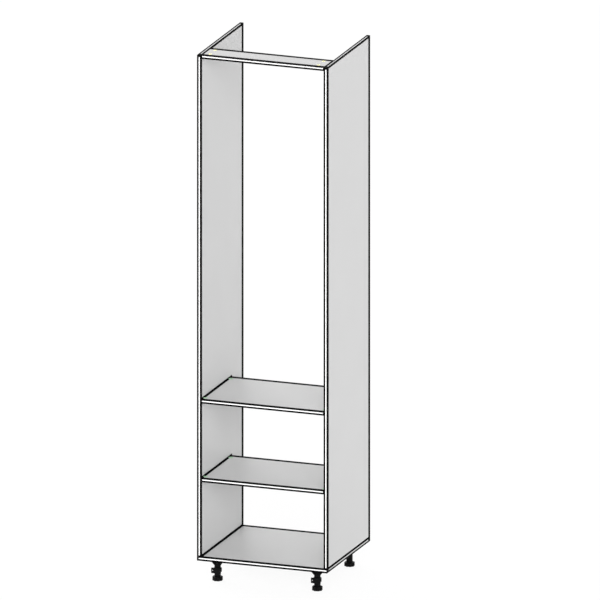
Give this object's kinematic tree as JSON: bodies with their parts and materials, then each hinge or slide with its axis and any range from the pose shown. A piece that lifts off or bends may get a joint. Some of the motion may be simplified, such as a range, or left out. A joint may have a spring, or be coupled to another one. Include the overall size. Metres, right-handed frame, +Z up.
{
  "type": "tall cabinet carcass",
  "caption": "Open tall kitchen cabinet carcass: upright sides on a bottom panel, a front top rail, fixed shelves, screw-adjustable legs and plinth clips.",
  "frame": {"origin": "on the floor, in the middle of the carcass's footprint", "axes": "+Z up, -Y towards the front where doors close, +X to the right seen from the front"},
  "size_m": [0.6, 0.547, 2.38],
  "materials": {
    "melamine_board": "light grey melamine on chipboard",
    "white_edge_band": "white edge band",
    "grey_edge_band": "light grey edge band",
    "beech_dowel": "bare beech",
    "steel": "zinc plated",
    "yellow_zinc": "pale yellow plated zinc",
    "green_plastic": "pale green moulded plastic",
    "zinc_cam": "plated zinc",
    "black_plastic": "black moulded plastic"
  },
  "bodies": {
    "carcass": {"side_panel_left": "melamine_board", "side_panel_right": "melamine_board", "bottom_panel": "melamine_board", "top_rail": "melamine_board", "lower_shelf": "melamine_board", "upper_shelf": "melamine_board", "side_front_band_left": "white_edge_band", "side_front_band_right": "white_edge_band", "bottom_front_band": "white_edge_band", "top_rail_front_band": "white_edge_band", "lower_shelf_front_band": "white_edge_band", "upper_shelf_front_band": "white_edge_band", "side_top_band_left": "grey_edge_band", "side_top_band_right": "grey_edge_band", "bottom_end_band_left": "grey_edge_band", "bottom_end_band_right": "grey_edge_band", "bottom_dowels": "beech_dowel", "rail_dowels": "beech_dowel", "joint_screws": "steel", "rail_cam_bolts": "steel", "lower_shelf_bolts": "steel", "upper_shelf_bolts": "steel", "leg_socket_screws_front_left": "steel", "leg_socket_screws_front_right": "steel", "leg_socket_screws_back_left": "steel", "leg_socket_screws_back_right": "steel", "rail_cams": "yellow_zinc", "lower_shelf_connectors": "green_plastic", "upper_shelf_connectors": "green_plastic", "lower_shelf_connector_cams": "zinc_cam", "upper_shelf_connector_cams": "zinc_cam", "leg_socket_front_left": "black_plastic", "leg_tube_front_left": "black_plastic", "leg_socket_front_right": "black_plastic", "leg_tube_front_right": "black_plastic", "leg_socket_back_left": "black_plastic", "leg_tube_back_left": "black_plastic", "leg_socket_back_right": "black_plastic", "leg_tube_back_right": "black_plastic"},
    "spindle_front_left": {"leg_spindle_front_left": "black_plastic"},
    "foot_front_left": {"leg_foot_front_left": "black_plastic"},
    "spindle_front_right": {"leg_spindle_front_right": "black_plastic"},
    "foot_front_right": {"leg_foot_front_right": "black_plastic"},
    "spindle_back_left": {"leg_spindle_back_left": "black_plastic"},
    "foot_back_left": {"leg_foot_back_left": "black_plastic"},
    "spindle_back_right": {"leg_spindle_back_right": "black_plastic"},
    "foot_back_right": {"leg_foot_back_right": "black_plastic"},
    "clip_front_left": {"plinth_clip_front_left": "black_plastic"},
    "clip_front_right": {"plinth_clip_front_right": "black_plastic"}
  },
  "joints": [
    {"name": "leg_lift_front_left", "type": "slide", "parent": "carcass", "child": "spindle_front_left", "axis": [0, 0, -1], "range_m": [-0.005, 0.02]},
    {"name": "foot_turn_front_left", "type": "hinge", "parent": "spindle_front_left", "child": "foot_front_left", "pos_m": [-0.23, -0.2035, 0.009], "axis": [0, 0, -1], "range_deg": [-600, 2400]},
    {"name": "leg_lift_front_right", "type": "slide", "parent": "carcass", "child": "spindle_front_right", "axis": [0, 0, -1], "range_m": [-0.005, 0.02]},
    {"name": "foot_turn_front_right", "type": "hinge", "parent": "spindle_front_right", "child": "foot_front_right", "pos_m": [0.23, -0.2035, 0.009], "axis": [0, 0, -1], "range_deg": [-600, 2400]},
    {"name": "leg_lift_back_left", "type": "slide", "parent": "carcass", "child": "spindle_back_left", "axis": [0, 0, -1], "range_m": [-0.005, 0.02]},
    {"name": "foot_turn_back_left", "type": "hinge", "parent": "spindle_back_left", "child": "foot_back_left", "pos_m": [-0.23, 0.2035, 0.009], "axis": [0, 0, -1], "range_deg": [-600, 2400]},
    {"name": "leg_lift_back_right", "type": "slide", "parent": "carcass", "child": "spindle_back_right", "axis": [0, 0, -1], "range_m": [-0.005, 0.02]},
    {"name": "foot_turn_back_right", "type": "hinge", "parent": "spindle_back_right", "child": "foot_back_right", "pos_m": [0.23, 0.2035, 0.009], "axis": [0, 0, -1], "range_deg": [-600, 2400]},
    {"name": "clip_swivel_front_left", "type": "hinge", "parent": "carcass", "child": "clip_front_left", "pos_m": [-0.23, -0.2035, 0.0475], "axis": [0, 0, 1], "continuous": true},
    {"name": "clip_swivel_front_right", "type": "hinge", "parent": "carcass", "child": "clip_front_right", "pos_m": [0.23, -0.2035, 0.0475], "axis": [0, 0, 1], "continuous": true}
  ],
  "couplings": [
    {"joint": "leg_lift_front_left", "follows": "foot_turn_front_left", "m_per_rad": 0.00047746},
    {"joint": "leg_lift_front_right", "follows": "foot_turn_front_right", "m_per_rad": 0.00047746},
    {"joint": "leg_lift_back_left", "follows": "foot_turn_back_left", "m_per_rad": 0.00047746},
    {"joint": "leg_lift_back_right", "follows": "foot_turn_back_right", "m_per_rad": 0.00047746}
  ]
}
